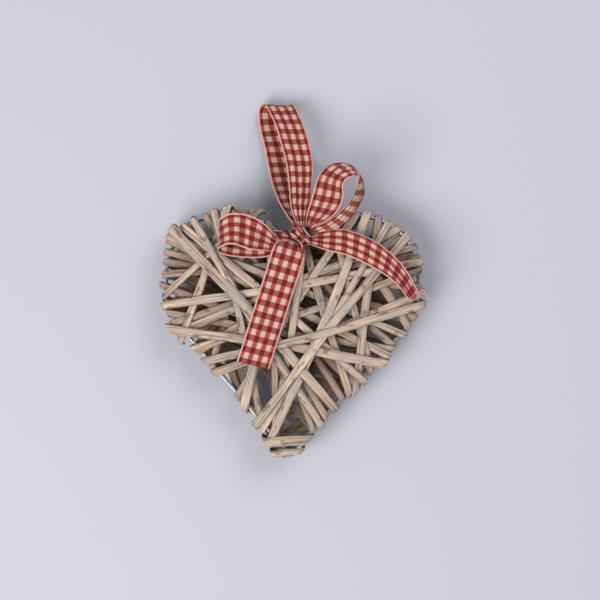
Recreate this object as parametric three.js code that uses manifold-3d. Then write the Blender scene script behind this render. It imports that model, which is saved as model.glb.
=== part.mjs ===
import * as THREE from 'three';
import Module from 'manifold-3d';
import { mergeVertices } from 'three/addons/utils/BufferGeometryUtils.js';

// Hanging heart of split cane wound on a double wire frame, with a gingham bow and loop.
// Millimetres. X to the right, Y from the tip to the lobes, Z up, the heart lying on its back.

// Wire heart, to the centre of the wire
const SIDE_ANGLE = THREE.MathUtils.degToRad(48.4);
const SHOULDER_RADIUS = 38;
const SHOULDER_RISE = 13;
const LOBE_CENTRE = 50;
const LOBE_RADIUS = 47;
const CLEFT_DEPTH = 25.6;
const WIRE_RADIUS = 0.9;
const WIRE_LEVEL = 6.5;
const WIRE_SIDES = 5;
const TIP_STRETCH = 1.3;
const POST_RADIUS = 0.8 * WIRE_RADIUS;
const POST_SIDES = 6;
const RIM_MARKS = 100;
const STRUT_MARKS = [6, 20, 31, 42.5, 57.5, 69, 80, 94];
const STRAIGHT_MARKS = 21;
const LONG_STEP = 3;
const NEAR_STEP = 0.5;
const MARK_STEP = 0.1;

// Split cane
const CANE_THICK = 1.3;
const CANE_GAP = 0.4;
const FIRST_TURN = 1.2;
const EDGE_ROOM = 1.2;
const LEAST_SQUARE = 0.62;
const LAST_REST = 1.5;
const WIRE_TOP = WIRE_LEVEL + WIRE_RADIUS + CANE_GAP;
const INNER_LIMIT = 0.8;
const SIDE_ROOM = 1.6;
const STATION_STEP = 6;
const TURN_LENGTH = 6;
const TENSION = 0.25;
const SETTLE_ROUNDS = 400;
const LEFT_OUT = 0.2;

// The photograph's scale, in its own frame of 600 by 600 pixels: the size of one pixel at the level
// of the wire hearts, how far the heart is turned, and where the middle pixel falls on the heart.
const PHOTO_MIDDLE = 300;
const PIXEL_SIZE = 0.77;
const PHOTO_TURN = THREE.MathUtils.degToRad(1.2);
const MIDDLE_PLACE = new THREE.Vector2(6.2, 118.2);
const CAMERA_HEIGHT = 1000;

// Each cane as it is wound: the two pixels that its front runs between, read by eye, and its width.
// A cane that lies beside a neighbour is also moved along the rim, at either end, by so many marks.
// Marks go round the rim from the tip, up the right side, 50 at the cleft. Later canes lie outside.
const CANES = [
  { from: [188, 223], to: [356, 385], width: 6.6 },
  { from: [163, 262], to: [421, 288], width: 5.8 },
  { from: [235, 210], to: [313, 431], width: 5.4 },
  { from: [163, 250], to: [412, 316], width: 6 },
  { from: [222, 212], to: [344, 400], width: 5.6 },
  { from: [240, 214], to: [392, 345], width: 6 },
  { from: [340, 220], to: [405, 325], width: 6.4 },
  { from: [163, 275], to: [418, 256], width: 5.6, moved: [0, -0.1] },
  { from: [205, 214], to: [328, 419], width: 5.4 },
  { from: [252, 214], to: [206, 372], width: 5 },
  { from: [372, 366], to: [162, 286], width: 5.6, moved: [-0.1, -0.1] },
  { from: [388, 345], to: [168, 313], width: 5.8 },
  { from: [399, 228], to: [195, 354], width: 6.6 },
  { from: [388, 356], to: [168, 240], width: 6 },
  { from: [414, 247], to: [174, 322], width: 5.4 },
  { from: [275, 218], to: [285, 440], width: 5.4, moved: [0.3, -0.4] },
  { from: [403, 334], to: [171, 238], width: 5.6 },
  { from: [419, 270], to: [191, 350], width: 5.8, moved: [-0.1, 0.1] },
  { from: [303, 240], to: [349, 399], width: 6, moved: [-0.4, 0.4] },
  { from: [183, 335], to: [408, 237], width: 6, moved: [-0.6, 0] },
  { from: [186, 337], to: [229, 207], width: 6.2 },
  { from: [377, 365], to: [335, 228], width: 5.6, moved: [-1.2, 0] },
  { from: [262, 430], to: [214, 210], width: 5.4, moved: [-0.2, 0] },
  { from: [418, 289], to: [210, 376], width: 6, moved: [-0.5, 0] },
  { from: [258, 222], to: [163, 297], width: 5.2 },
  { from: [351, 388], to: [379, 214], width: 6.2 },
  { from: [350, 398], to: [183, 226], width: 6, moved: [2.8, 0] },
  { from: [233, 401], to: [356, 213], width: 6.6, moved: [0, -0.1] },
  { from: [163, 306], to: [421, 262], width: 6.4 },
  { from: [298, 245], to: [299, 440], width: 5.8, moved: [-2.1, -4.5] },
  { from: [199, 216], to: [317, 430], width: 5.8, moved: [0.8, 0.8] },
  { from: [395, 222], to: [263, 431], width: 5.4, moved: [0.6, -0.2] },
  { from: [389, 353], to: [172, 327], width: 7, moved: [-1.3, 0] },
  { from: [372, 213], to: [272, 440], width: 7, moved: [0.4, 0] },
  { from: [339, 410], to: [172, 233], width: 7.6, moved: [-0.1, -0.4] },
  { from: [252, 425], to: [405, 237], width: 6.6, moved: [0.2, 0] },
  { from: [203, 370], to: [417, 303], width: 6.3, moved: [-0.7, 0] },
  { from: [262, 222], to: [248, 420], width: 7, moved: [-2.8, -1.5] },
  { from: [313, 438], to: [266, 437], width: 7.6, moved: [-0.4, 0.3] },
  { from: [303, 449], to: [274, 449], width: 4, moved: [-1, 1.2] },
  { from: [308, 443], to: [268, 444], width: 5, moved: [-1.1, 1.1] },
];

// Ribbon, 25 wide. Each band is given by its two edges, as pixels read by eye with a height above
// the middle of the heart. The edges that lie underneath, out of sight, are guessed.
const RIBBON_THICK = 0.7;
const LOOP_STEPS = 2;
const BOW_STEPS = 1;
const KNOT_CENTRE = [6, 167.5, 25];
const KNOT_HALF = [7.5, 5.5, 5];
const HANGING_LOOP = {
  left: [
    [293, 224, 24], [286, 217, 21], [276, 200, 8], [270, 178, -6], [264, 150, -15], [260, 126, -17.5],
    [259, 113, -17], [260, 103, -12], [264, 109, -6], [273, 130, 2], [280, 146, 8], [286, 164, 13],
    [289, 188, 20], [290, 209, 26], [296, 222, 27],
  ],
  right: [
    [303, 224, 24], [306, 217, 21], [310, 200, 8], [308, 178, -6], [300, 150, -15], [293, 127, -17.5],
    [292, 112, -17], [292, 103, -12], [297, 109, -6], [304, 128, 1], [309, 146, 7], [312, 164, 12],
    [311, 188, 20], [307, 209, 26], [302, 222, 27],
  ],
};
const BOW_LOOP_RIGHT = {
  left: [
    [305.8, 224, 28], [307, 213, 31], [310, 203, 34], [313.5, 191, 36], [317, 179, 37],
    [321.5, 171.5, 36.5], [329, 165, 34], [337, 162.8, 30], [345, 163.3, 26], [353, 167, 21],
    [360, 175, 17.5], [363.5, 184, 15.5], [363.5, 194, 15], [359.5, 204, 15.5], [354, 213, 16.5],
    [347, 221, 18], [338, 228.5, 19.5], [327, 233, 21], [315, 232.5, 22],
  ],
  right: [
    [316, 225.5, 28], [329, 219.5, 31], [339, 209, 33], [343.5, 197, 35], [343.2, 188, 36],
    [345, 181, 36.5], [349.5, 177.2, 37], [353, 175.8, 37], [355.5, 175.3, 37], [357.3, 177, 36.5],
    [357.8, 181, 36], [357, 187, 35], [354, 194, 34], [349, 202, 32.5], [343, 209, 31],
    [336, 216, 29.5], [328, 221.5, 28], [318, 226, 27], [310, 229.5, 26],
  ],
};
const BOW_LOOP_LEFT = {
  left: [
    [289, 241.5, 27], [281, 240, 29], [274, 234, 31.5], [266, 225, 33.5], [257, 218.5, 35],
    [248, 214.8, 35.5], [237, 213, 35], [228, 214, 33], [221.5, 217.5, 30], [218.8, 221, 26.5],
    [220, 224, 23], [225, 227, 20.5], [234, 228.5, 19.5], [245, 229.5, 19], [257, 229.7, 19],
    [267, 229.8, 19.5], [277, 230.5, 20.5], [286, 233, 22], [294, 238, 23.5],
  ],
  right: [
    [289, 247, 27], [281, 249.5, 28], [271, 250.5, 30], [260, 250.5, 32], [251, 250, 34],
    [246, 248.8, 35], [236, 245, 35.5], [230, 244.3, 35], [224.5, 245.5, 33], [219.5, 248, 30],
    [218, 250, 26], [220, 253, 23], [229, 256, 21.5], [242, 257.5, 20.5], [255, 258, 20.5],
    [266, 257, 20.5], [277, 252, 21], [287, 247, 22.5], [295, 243, 23.5],
  ],
};
const TAIL_RIGHT = {
  left: [
    [305, 235, 24], [322, 231, 23], [343, 229, 20.5], [354, 232, 20], [366, 236.5, 20.5],
    [378, 243, 22], [390, 252, 24], [401, 263, 26], [410, 275, 27], [416, 287, 27], [419, 293.5, 27],
  ],
  right: [
    [306, 240, 24], [321, 248.5, 22], [342, 254, 20], [352, 257.5, 19.5], [362, 262, 19],
    [373, 268, 18.5], [384, 274.5, 17.5], [393, 281, 16.5], [401, 289, 15], [408, 298, 13.5],
    [412.5, 301.5, 13],
  ],
};
const TAIL_LEFT = {
  left: [
    [296, 234, 25], [278, 244, 23], [269, 255, 21], [264, 269, 20.5], [256, 302, 21.5],
    [246, 335, 22.5], [236.5, 364, 22.5],
  ],
  right: [
    [301, 237, 25], [304, 249, 23], [303, 262, 21.5], [298, 278, 20.5], [288, 311, 21.5],
    [279, 343, 22.5], [269, 373, 22.5],
  ],
};

const wasm = await Module();
wasm.setup();

const caneMaterial = new THREE.MeshStandardMaterial({ color: 0xb5a38c, roughness: 0.85, metalness: 0 });
const wireMaterial = new THREE.MeshStandardMaterial({ color: 0x9a9a9c, roughness: 0.35, metalness: 1 });
const ribbonMaterial = new THREE.MeshStandardMaterial({ color: 0xa8474a, roughness: 0.9, metalness: 0 });

// Half of the outline, from the tip to the cleft: a straight side, a shoulder arc, a short
// straight rise, the outer quarter of the lobe, and a flatter arc down into the cleft.
function heartPath() {
  const half = new THREE.CurvePath();
  const shoulderX = LOBE_CENTRE + LOBE_RADIUS - SHOULDER_RADIUS;
  const tangentX = shoulderX + SHOULDER_RADIUS * Math.sin(SIDE_ANGLE);
  const tangentY = tangentX * Math.tan(SIDE_ANGLE);
  const shoulderY = tangentY + SHOULDER_RADIUS * Math.cos(SIDE_ANGLE);
  const lobeY = shoulderY + SHOULDER_RISE;
  const innerRadius = (LOBE_CENTRE ** 2 + CLEFT_DEPTH ** 2) / (2 * CLEFT_DEPTH);
  const innerAngle = Math.asin(LOBE_CENTRE / innerRadius);
  const innerY = lobeY + LOBE_RADIUS - innerRadius;
  const arc = (x, y, r, from, to) => new THREE.EllipseCurve(x, y, r, r, from, to);
  half.add(new THREE.LineCurve(new THREE.Vector2(0, 0), new THREE.Vector2(tangentX, tangentY)));
  half.add(arc(shoulderX, shoulderY, SHOULDER_RADIUS, SIDE_ANGLE - Math.PI / 2, 0));
  const outerX = LOBE_CENTRE + LOBE_RADIUS;
  half.add(new THREE.LineCurve(new THREE.Vector2(outerX, shoulderY), new THREE.Vector2(outerX, lobeY)));
  half.add(arc(LOBE_CENTRE, lobeY, LOBE_RADIUS, 0, Math.PI / 2));
  half.add(arc(LOBE_CENTRE, innerY, innerRadius, Math.PI / 2, Math.PI / 2 + innerAngle));
  return half;
}

const halfHeart = heartPath();
const rimLength = 2 * halfHeart.getLength();
const rimPoints = [];
for (let mark = 0; mark < RIM_MARKS; mark += NEAR_STEP) rimPoints.push(rimAt(mark).point);
const rimTenths = [];
for (let cell = 0; cell < RIM_MARKS / MARK_STEP; cell += 1) rimTenths.push(rimAt(cell * MARK_STEP).point);

// A place on the rim: its point, the direction along the rim and the direction outwards
function rimAt(mark) {
  const turn = ((mark % RIM_MARKS) + RIM_MARKS) % RIM_MARKS;
  const left = turn > RIM_MARKS / 2;
  const share = 2 * (left ? RIM_MARKS - turn : turn) / RIM_MARKS;
  const point = halfHeart.getPointAt(share);
  const along = halfHeart.getTangentAt(share);
  if (left) {
    point.x = -point.x;
    along.y = -along.y;
  }
  return { point, along, out: new THREE.Vector2(along.y, -along.x) };
}

// The place on the heart, at a height, that a pixel of the photograph shows
function fromPhoto([x, y, z = 0]) {
  const scale = PIXEL_SIZE * (1 - z / CAMERA_HEIGHT);
  const place = new THREE.Vector2(x - PHOTO_MIDDLE, PHOTO_MIDDLE - y).multiplyScalar(scale);
  place.rotateAround(new THREE.Vector2(), PHOTO_TURN).add(MIDDLE_PLACE);
  return new THREE.Vector3(place.x, place.y, z);
}

// The mark whose rim point is nearest to a pixel, in steps of a tenth of a mark
function nearestMark(pixel) {
  const place = fromPhoto(pixel);
  const far = rimTenths.map((rim) => Math.hypot(rim.x - place.x, rim.y - place.y));
  return far.indexOf(Math.min(...far)) * MARK_STEP;
}

// A closed strip through stations, each with an underside centre, a half-width and a thickness
function stripGeometry(stations) {
  const positions = [];
  const indices = [];
  for (const { base, side, up } of stations) {
    const corners = [
      base.clone().sub(side),
      base.clone().add(side),
      base.clone().add(side).add(up),
      base.clone().sub(side).add(up),
    ];
    for (const corner of corners) positions.push(corner.x, corner.y, corner.z);
  }
  const last = 4 * (stations.length - 1);
  for (let i = 0; i < last; i += 4) {
    for (let k = 0; k < 4; k += 1) {
      const a = i + k;
      const b = i + (k + 1) % 4;
      indices.push(a, b, b + 4, a, b + 4, a + 4);
    }
  }
  indices.push(0, 2, 1, 0, 3, 2);
  indices.push(last, last + 1, last + 2, last, last + 2, last + 3);
  return outwardGeometry(positions, indices);
}

// A geometry whose faces are turned outwards by the sign of its volume
function outwardGeometry(positions, indices) {
  const at = (i) => new THREE.Vector3(positions[3 * i], positions[3 * i + 1], positions[3 * i + 2]);
  let volume = 0;
  for (let i = 0; i < indices.length; i += 3) {
    volume += at(indices[i]).dot(at(indices[i + 1]).cross(at(indices[i + 2])));
  }
  if (volume < 0) indices.reverse();
  const geometry = new THREE.BufferGeometry();
  geometry.setAttribute('position', new THREE.Float32BufferAttribute(positions, 3));
  geometry.setIndex(indices);
  return geometry;
}

// One straight pass across a face, as stations with a place, a half-width and a height
function startPass(start, end, sides, width) {
  const length = start.distanceTo(end);
  const count = Math.ceil(length / STATION_STEP);
  const turn = Math.min(TURN_LENGTH, length / 4) / length;
  const stations = [];
  for (let i = 0; i <= count; i += 1) {
    const share = i / count;
    const side = sides[1].clone();
    side.lerp(sides[0], 1 - THREE.MathUtils.clamp(share / turn, 0, 1));
    side.lerp(sides[2], 1 - THREE.MathUtils.clamp((1 - share) / turn, 0, 1));
    const point = start.clone().lerp(end, share);
    const bound = i === 0 || i === count || nearRim(point, (width + STATION_STEP) / 2 + WIRE_RADIUS);
    stations.push({ point, side, z: WIRE_TOP, least: bound ? WIRE_TOP : INNER_LIMIT });
  }
  return stations;
}

function nearRim(point, reach) {
  return rimPoints.some((rim) => rim.distanceTo(point) < reach);
}

// Pairs of stations of two passes of one face that lie over each other, the outer one second
function crossings(passes) {
  const pairs = [];
  passes.forEach((inner, i) => passes.slice(i + 1).forEach((outer) => {
    for (const low of inner) {
      for (const high of outer) {
        const reach = low.side.length() + high.side.length() + SIDE_ROOM;
        if (low.point.distanceTo(high.point) < reach) pairs.push([low, high]);
      }
    }
  }));
  return pairs;
}

// The heights at which canes under tension settle: each is drawn straight between its ends,
// and where two cross, the inner one is pressed in as far as the outer one is pushed out.
function settle(passes) {
  const pairs = crossings(passes);
  const layer = CANE_THICK + CANE_GAP;
  for (let round = 0; round < SETTLE_ROUNDS; round += 1) {
    for (const stations of passes) {
      for (let i = 1; i < stations.length - 1; i += 1) {
        const straight = (stations[i - 1].z + stations[i + 1].z) / 2;
        stations[i].z += TENSION * (straight - stations[i].z);
      }
      stations[0].z += TENSION * (WIRE_TOP - stations[0].z);
      const last = stations[stations.length - 1];
      last.z += TENSION * (WIRE_TOP - last.z);
    }
    for (const [low, high] of pairs) {
      const short = layer - (high.z - low.z);
      if (short <= 0) continue;
      const down = Math.min(short / 2, low.z - low.least);
      low.z -= down;
      high.z += short - down;
    }
  }
  for (const [low, high] of pairs) high.z = Math.max(high.z, low.z + layer);
}

// Leaves out the stations that a straight line between their neighbours passes close to
function thinned(stations) {
  const kept = [stations[0]];
  let from = 0;
  for (let to = 2; to < stations.length; to += 1) {
    const a = stations[from];
    const b = stations[to];
    const far = stations.slice(from + 1, to).some((stop, i) => {
      const share = (i + 1) / (to - from);
      const sideChange = stop.side.distanceTo(a.side.clone().lerp(b.side, share));
      return sideChange > LEFT_OUT || Math.abs(stop.z - a.z - (b.z - a.z) * share) > LEFT_OUT;
    });
    if (far) {
      from = to - 1;
      kept.push(stations[from]);
    }
  }
  kept.push(stations[stations.length - 1]);
  return kept;
}

// How far out from the rim the winding has already grown, mark by mark
const rimGrowth = new Map();

function growRim(mark, halfMarks) {
  const cells = [];
  for (let m = mark - halfMarks; m <= mark + halfMarks; m += MARK_STEP) {
    cells.push(Math.round((((m % RIM_MARKS) + RIM_MARKS) % RIM_MARKS) / MARK_STEP));
  }
  const start = Math.max(FIRST_TURN, ...cells.map((c) => rimGrowth.get(c) ?? 0)) + CANE_GAP;
  for (const cell of cells) rimGrowth.set(cell, start + CANE_THICK);
  return start;
}

// The edge of a strip where it turns over the rim, along the rim and as wide as it crosses it
function rimSide(rim, direction, width) {
  const square = Math.max(LEAST_SQUARE, Math.abs(direction.dot(rim.out)));
  return rim.along.clone().multiplyScalar(width / 2 / square);
}

function alike(vector, like) {
  return vector.dot(like) < 0 ? vector.negate() : vector;
}

const flat = (point, z) => new THREE.Vector3(point.x, point.y, z);

// One cane: up round the rim, across the front, down round the rim and across the back
function layCane(fromMark, toMark, restMark, width) {
  const rims = [rimAt(fromMark), rimAt(toMark), rimAt(restMark)];
  const across = rims[1].point.clone().sub(rims[0].point).normalize();
  const returning = rims[2].point.clone().sub(rims[1].point).normalize();
  const middle = new THREE.Vector2(-across.y, across.x).multiplyScalar(width / 2);
  const first = alike(rimSide(rims[0], across, width), middle);
  const second = alike(rimSide(rims[1], across, width), middle);
  const middleBack = alike(new THREE.Vector2(-returning.y, returning.x).multiplyScalar(width / 2), second);
  const third = alike(rimSide(rims[2], returning, width), middleBack);
  const halfMarks = (side) => (side.length() + EDGE_ROOM) * RIM_MARKS / rimLength;
  const growth = [growRim(fromMark, halfMarks(first)), growRim(toMark, halfMarks(second))];
  const start = rims[0].point.clone().addScaledVector(rims[0].out, growth[0]);
  const turn = rims[1].point.clone().addScaledVector(rims[1].out, growth[1]);
  const end = rims[2].point.clone().addScaledVector(rims[2].out, WIRE_RADIUS - CANE_GAP);
  const frontPass = startPass(start, turn, [first, middle, second], width);
  const backPass = startPass(turn, end, [second, middleBack, third], width);
  return { rims, frontPass, backPass };
}

function caneGeometry({ rims, frontPass, backPass }) {
  const rise = new THREE.Vector3(0, 0, CANE_THICK);
  const outward = rims.map((rim) => flat(rim.out.clone().multiplyScalar(CANE_THICK), 0));
  const first = frontPass[0];
  const stations = [{ base: flat(first.point, -WIRE_LEVEL), side: flat(first.side, 0), up: outward[0] }];
  const over = thinned(frontPass);
  over.forEach((stop, i) => {
    const up = rise.clone();
    if (i === 0) up.add(outward[0]);
    if (i === over.length - 1) up.add(outward[1]);
    stations.push({ base: flat(stop.point, stop.z), side: flat(stop.side, 0), up });
  });
  thinned(backPass).forEach((stop, i) => {
    const up = rise.clone().negate();
    if (i === 0) up.add(outward[1]);
    stations.push({ base: flat(stop.point, -stop.z), side: flat(stop.side, 0), up });
  });
  return stripGeometry(stations);
}

// A wire along the rim, with few sides, its straight lengths in longer steps than its bends
function wireLoop(level) {
  const sides = WIRE_SIDES;
  const positions = [];
  const indices = [];
  const stops = [];
  const straight = (mark) => mark < STRAIGHT_MARKS || mark >= RIM_MARKS - STRAIGHT_MARKS;
  for (let mark = 0; mark < RIM_MARKS; mark += straight(mark) ? LONG_STEP : 1) stops.push(mark);
  for (const mark of stops) {
    const rim = rimAt(mark);
    const sharp = mark === 0 || mark === RIM_MARKS / 2;
    const out = sharp ? new THREE.Vector2(0, -1) : rim.out;
    const reach = sharp ? WIRE_RADIUS * TIP_STRETCH : WIRE_RADIUS;
    for (let k = 0; k < sides; k += 1) {
      const a = 2 * Math.PI * k / sides;
      const point = rim.point.clone().addScaledVector(out, reach * Math.cos(a));
      positions.push(point.x, point.y, level + WIRE_RADIUS * Math.sin(a));
    }
  }
  const total = stops.length * sides;
  for (let i = 0; i < stops.length; i += 1) {
    for (let k = 0; k < sides; k += 1) {
      const a = i * sides + k;
      const b = i * sides + (k + 1) % sides;
      const c = (a + sides) % total;
      const d = (b + sides) % total;
      indices.push(a, b, d, a, d, c);
    }
  }
  return outwardGeometry(positions, indices);
}

function toSolid(geometry) {
  const bare = geometry.clone();
  bare.deleteAttribute('normal');
  bare.deleteAttribute('uv');
  const merged = mergeVertices(bare, 1e-4);
  const vertProperties = new Float32Array(merged.attributes.position.array);
  const triVerts = new Uint32Array(merged.index.array);
  return new wasm.Manifold(new wasm.Mesh({ numProp: 3, vertProperties, triVerts }));
}

function fromSolid(solid) {
  const mesh = solid.getMesh();
  const geometry = new THREE.BufferGeometry();
  geometry.setAttribute('position', new THREE.Float32BufferAttribute(mesh.vertProperties, 3));
  geometry.setIndex(Array.from(mesh.triVerts));
  return geometry;
}

function joined(geometries) {
  return fromSolid(geometries.map(toSolid).reduce((whole, piece) => whole.add(piece)));
}

// Two wire hearts, one above the other, with short posts welded between them
function wireFrame() {
  const pieces = [wireLoop(WIRE_LEVEL), wireLoop(-WIRE_LEVEL)];
  for (const mark of STRUT_MARKS) {
    const { point } = rimAt(mark);
    const post = new THREE.CylinderGeometry(POST_RADIUS, POST_RADIUS, 2 * WIRE_LEVEL, POST_SIDES);
    post.rotateX(Math.PI / 2);
    post.translate(point.x, point.y, 0);
    pieces.push(post);
  }
  return joined(pieces);
}

// A band of ribbon between two edge lines, each a list of pixels with heights, smoothed
function bandGeometry(leftPoints, rightPoints, steps) {
  const left = new THREE.CatmullRomCurve3(leftPoints.map(fromPhoto));
  const right = new THREE.CatmullRomCurve3(rightPoints.map(fromPhoto));
  const stations = [];
  for (let i = 0; i <= steps; i += 1) {
    const t = i / steps;
    const a = left.getPoint(t);
    const b = right.getPoint(t);
    const run = left.getTangent(t).add(right.getTangent(t)).normalize();
    const side = b.clone().sub(a).multiplyScalar(0.5);
    const up = side.clone().cross(run).normalize().multiplyScalar(RIBBON_THICK);
    const base = a.clone().add(b).multiplyScalar(0.5).addScaledVector(up, -0.5);
    stations.push({ base, side, up });
  }
  return stripGeometry(stations);
}

const model = new THREE.Group();

function addPiece(name, geometry, material) {
  const mesh = new THREE.Mesh(geometry, material);
  mesh.name = name;
  model.add(mesh);
}

addPiece('wire_frame', wireFrame(), wireMaterial);
const ends = CANES.map(({ from, to, moved = [0, 0] }) => (
  [from, to].map((pixel, i) => nearestMark(pixel) + moved[i])
));
const canes = CANES.map(({ width }, i) => {
  const [from, to] = ends[i];
  const rest = i + 1 < ends.length ? ends[i + 1][0] : from + LAST_REST;
  return layCane(from, to, rest, width);
});
settle(canes.map((cane) => cane.frontPass));
settle(canes.map((cane) => cane.backPass));
canes.forEach((cane, i) => {
  addPiece(`cane_${String(i + 1).padStart(2, '0')}`, caneGeometry(cane), caneMaterial);
});

const band = ({ left, right }, stepsPerPoint) => (
  bandGeometry(left, right, Math.round(stepsPerPoint * (left.length - 1)))
);
const knot = new THREE.SphereGeometry(1, 12, 8);
knot.scale(...KNOT_HALF);
knot.translate(...KNOT_CENTRE);
addPiece('hanging_loop', band(HANGING_LOOP, LOOP_STEPS), ribbonMaterial);
const bowEdges = [BOW_LOOP_RIGHT, BOW_LOOP_LEFT, TAIL_RIGHT, TAIL_LEFT];
const bowBands = bowEdges.map((edges) => band(edges, BOW_STEPS));
addPiece('bow', joined([knot, ...bowBands]), ribbonMaterial);

const box = new THREE.Box3().setFromObject(model);
model.position.set(-(box.min.x + box.max.x) / 2, -(box.min.y + box.max.y) / 2, -box.min.z);

export default model;
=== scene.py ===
import math

import bpy
import numpy as np
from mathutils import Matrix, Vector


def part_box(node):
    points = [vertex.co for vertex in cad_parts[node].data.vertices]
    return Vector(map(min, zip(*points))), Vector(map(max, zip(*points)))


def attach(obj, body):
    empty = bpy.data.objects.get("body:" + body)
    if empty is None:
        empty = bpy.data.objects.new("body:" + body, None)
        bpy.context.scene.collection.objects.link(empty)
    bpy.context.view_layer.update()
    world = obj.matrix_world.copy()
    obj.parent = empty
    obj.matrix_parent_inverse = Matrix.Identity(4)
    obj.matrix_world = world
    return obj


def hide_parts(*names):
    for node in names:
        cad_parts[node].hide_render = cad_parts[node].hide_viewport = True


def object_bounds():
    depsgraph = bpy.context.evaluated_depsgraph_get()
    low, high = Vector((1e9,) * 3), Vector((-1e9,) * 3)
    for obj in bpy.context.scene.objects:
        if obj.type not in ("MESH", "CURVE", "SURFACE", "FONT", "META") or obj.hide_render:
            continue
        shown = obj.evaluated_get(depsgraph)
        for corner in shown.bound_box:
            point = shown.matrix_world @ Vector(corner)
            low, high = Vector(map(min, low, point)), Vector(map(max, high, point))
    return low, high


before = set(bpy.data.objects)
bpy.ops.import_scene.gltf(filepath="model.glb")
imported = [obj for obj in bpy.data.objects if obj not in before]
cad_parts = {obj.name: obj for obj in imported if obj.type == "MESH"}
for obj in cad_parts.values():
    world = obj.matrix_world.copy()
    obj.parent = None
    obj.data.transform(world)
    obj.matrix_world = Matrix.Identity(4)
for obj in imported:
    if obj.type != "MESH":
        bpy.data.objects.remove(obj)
cad_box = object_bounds()

# Floor, light and camera
# The heart lies on its back on a pale sheet between two large soft lamps, the brighter one at
# the lower left, and the camera looks straight down on it, as the photograph does.
MM = 0.001
FLOOR_SIZE = 24
FLOOR_COLOUR = (0.52, 0.525, 0.585)
FLOOR_ROUGHNESS = 0.9
FLOOR_GLOSS = 0.1
LAMP_SIZE = 1.3
KEY_PLACE = (-0.9, -0.8, 1.5)
KEY_POWER = 31
KEY_TINT = (1.0, 0.985, 0.96)
FILL_PLACE = (0.8, 1.0, 1.5)
FILL_POWER = 15
FILL_TINT = (0.97, 0.98, 1.0)
SKY_COLOUR = (0.92, 0.93, 1.0)
SKY_STRENGTH = 0.4
WIRE_RADIUS = 0.9 * MM
TIP_REACH = 1.3 * WIRE_RADIUS
VIEW_OFFSET = np.array([6.2, 118.2, 0]) * MM
VIEW_HEIGHT = 1.0
VIEW_WIDTH = 462 * MM
VIEW_ROLL = math.radians(1.2)
SENSOR = 36

wire_low, wire_high = (np.array(corner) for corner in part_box("wire_frame"))
tip = np.array([
    (wire_low[0] + wire_high[0]) / 2,
    wire_low[1] + TIP_REACH,
    (wire_low[2] + wire_high[2]) / 2,
])


def colour(red, green, blue):
    return (red, green, blue, 1.0)


def new_material(name, roughness):
    made = bpy.data.materials.new(name)
    made.use_nodes = True
    shader = made.node_tree.nodes["Principled BSDF"]
    shader.inputs["Roughness"].default_value = roughness
    return made, made.node_tree, shader


def add_floor():
    bpy.ops.mesh.primitive_plane_add(size=FLOOR_SIZE, location=(0, 0, float(cad_box[0][2])))
    floor = bpy.context.object
    floor.name = "floor"
    made, tree, shader = new_material("pale_sheet", FLOOR_ROUGHNESS)
    shader.inputs["Base Color"].default_value = colour(*FLOOR_COLOUR)
    shader.inputs["Specular IOR Level"].default_value = FLOOR_GLOSS
    floor.data.materials.append(made)


def add_light(name, place, size, power, tint):
    lamp = bpy.data.lights.new(name, "AREA")
    lamp.shape = "DISK"
    lamp.size = size
    lamp.energy = power
    lamp.color = tint
    holder = bpy.data.objects.new(name, lamp)
    bpy.context.collection.objects.link(holder)
    holder.location = place
    aim = -np.array(place)
    flat = math.hypot(aim[0], aim[1])
    holder.rotation_euler = (math.atan2(flat, -aim[2]), 0, math.atan2(aim[1], aim[0]) - math.pi / 2)


def add_camera():
    lens = bpy.data.cameras.new("camera")
    lens.sensor_width = SENSOR
    lens.lens = SENSOR * VIEW_HEIGHT / VIEW_WIDTH
    holder = bpy.data.objects.new("camera", lens)
    bpy.context.collection.objects.link(holder)
    holder.location = tip + VIEW_OFFSET + np.array([0, 0, VIEW_HEIGHT])
    holder.rotation_euler = (0, 0, VIEW_ROLL)
    bpy.context.scene.camera = holder


def add_sky():
    sky = bpy.data.worlds.new("soft_room")
    sky.use_nodes = True
    background = sky.node_tree.nodes["Background"]
    background.inputs["Color"].default_value = colour(*SKY_COLOUR)
    background.inputs["Strength"].default_value = SKY_STRENGTH
    bpy.context.scene.world = sky
    bpy.context.scene.view_settings.view_transform = "Standard"


add_floor()
add_camera()
add_light("key", KEY_PLACE, LAMP_SIZE, KEY_POWER, KEY_TINT)
add_light("fill", FILL_PLACE, LAMP_SIZE, FILL_POWER, FILL_TINT)
add_sky()


# Wire frame
# Two hearts of galvanised steel wire, one above the other, with short posts welded between
# them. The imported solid's faces are flat, so a round wire takes its place.
WIRE_LEVEL = 6.5 * MM
WIRE_SIDES = 12
WIRE_STEP = 0.4
POST_RADIUS = 0.8 * WIRE_RADIUS
SIDE_ANGLE = math.radians(48.4)
SHOULDER_RADIUS = 38 * MM
SHOULDER_RISE = 13 * MM
LOBE_CENTRE = 50 * MM
LOBE_RADIUS = 47 * MM
CLEFT_DEPTH = 25.6 * MM
ARC_SAMPLES = 500
RIM_SAMPLES = 4000
RIM_MARKS = 100
POST_MARKS = [6, 20, 31, 42.5, 57.5, 69, 80, 94]
CLOUD_SCALE = 420.0
ZINC_ROUGHNESS = 0.38


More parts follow.
